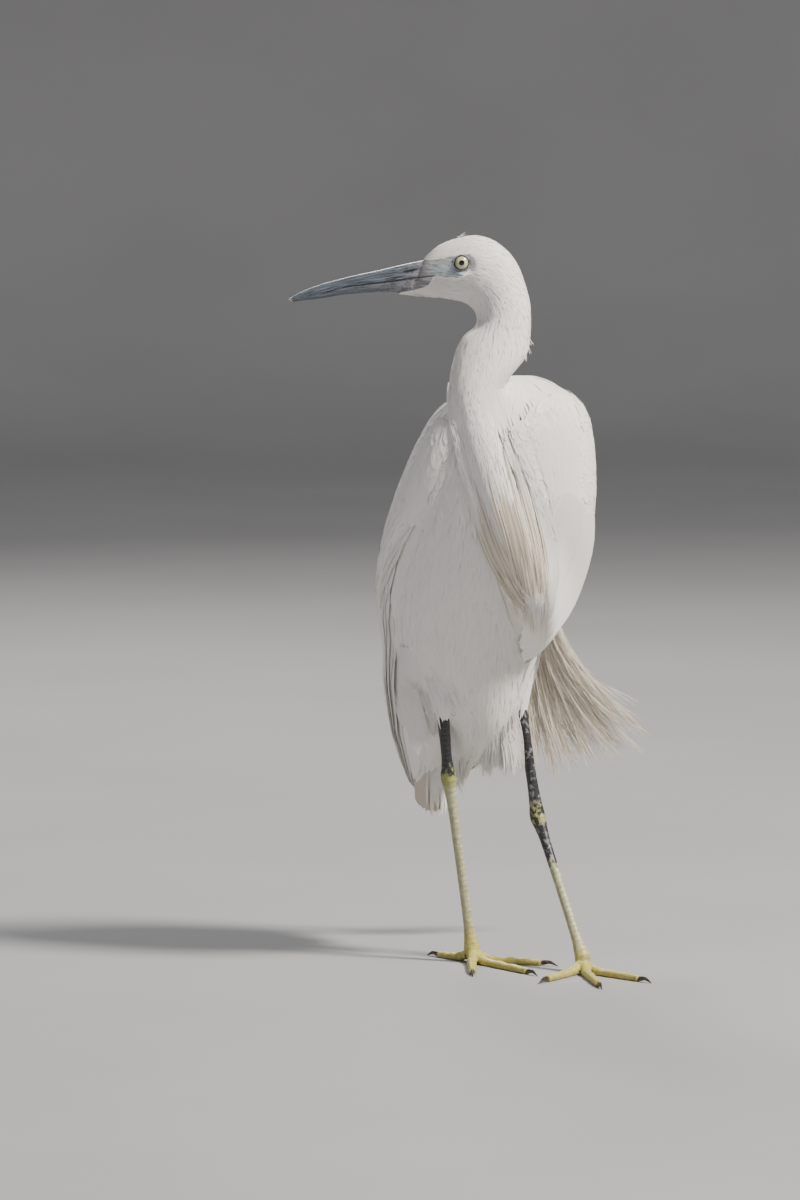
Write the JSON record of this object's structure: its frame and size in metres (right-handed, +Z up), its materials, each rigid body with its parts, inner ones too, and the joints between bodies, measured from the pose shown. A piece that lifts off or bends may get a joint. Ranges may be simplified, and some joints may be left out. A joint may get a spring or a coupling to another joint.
{
  "type": "little egret",
  "caption": "Slender white heron standing upright with its head turned side-on, long dagger bill, loose back plumes, dark shanks and yellow toes.",
  "frame": {"origin": "on the floor under the middle of the whole bird's bounding box", "axes": "+Z up from the floor; the body faces -Y, its right side is -X, and the head is turned to its right, so the bill points towards -X and +Y"},
  "size_m": [0.2615, 0.2023, 0.4547],
  "materials": {
    "feather": "soft white contour feathers, matt, warm in the light",
    "plume": "fine loose cream plumes",
    "lore_skin": "bare blue-grey skin before the eye and round it",
    "bill": "slate-black horn with a grey-blue sheen, paler below its base",
    "eye": "pale yellow iris with a black pupil under a clear wet surface",
    "shank_skin": "near-black scaled skin with pale flecks",
    "tarsus_skin": "pale greenish scutes, blotched black on the left leg",
    "toe_skin": "dull yellow scaled toes",
    "claw": "dark horn claws"
  },
  "bodies": {
    "root": {"back_plumes": "plume", "belly_fringe": "feather", "bill_lower": "bill", "bill_upper": "bill", "breast_plume_1": "plume", "breast_plume_2": "plume", "breast_plume_3": "plume", "breast_plume_4": "plume", "breast_plume_5": "plume", "claw_hallux_left": "claw", "claw_hallux_right": "claw", "claw_inner_left": "claw", "claw_inner_right": "claw", "claw_middle_left": "claw", "claw_middle_right": "claw", "claw_outer_left": "claw", "claw_outer_right": "claw", "eye_left": "eye", "eye_right": "eye", "head": "feather", "neck": "feather", "shank_left": "shank_skin", "shank_right": "shank_skin", "tail": "feather", "tarsus_left": "tarsus_skin", "tarsus_right": "tarsus_skin", "thigh_left": "feather", "thigh_right": "feather", "toe_hallux_left": "toe_skin", "toe_hallux_right": "toe_skin", "toe_inner_left": "toe_skin", "toe_inner_right": "toe_skin", "toe_middle_left": "toe_skin", "toe_middle_right": "toe_skin", "toe_outer_left": "toe_skin", "toe_outer_right": "toe_skin", "trunk": "feather", "wing_left": "feather", "wing_right": "feather"}
  },
  "joints": []
}
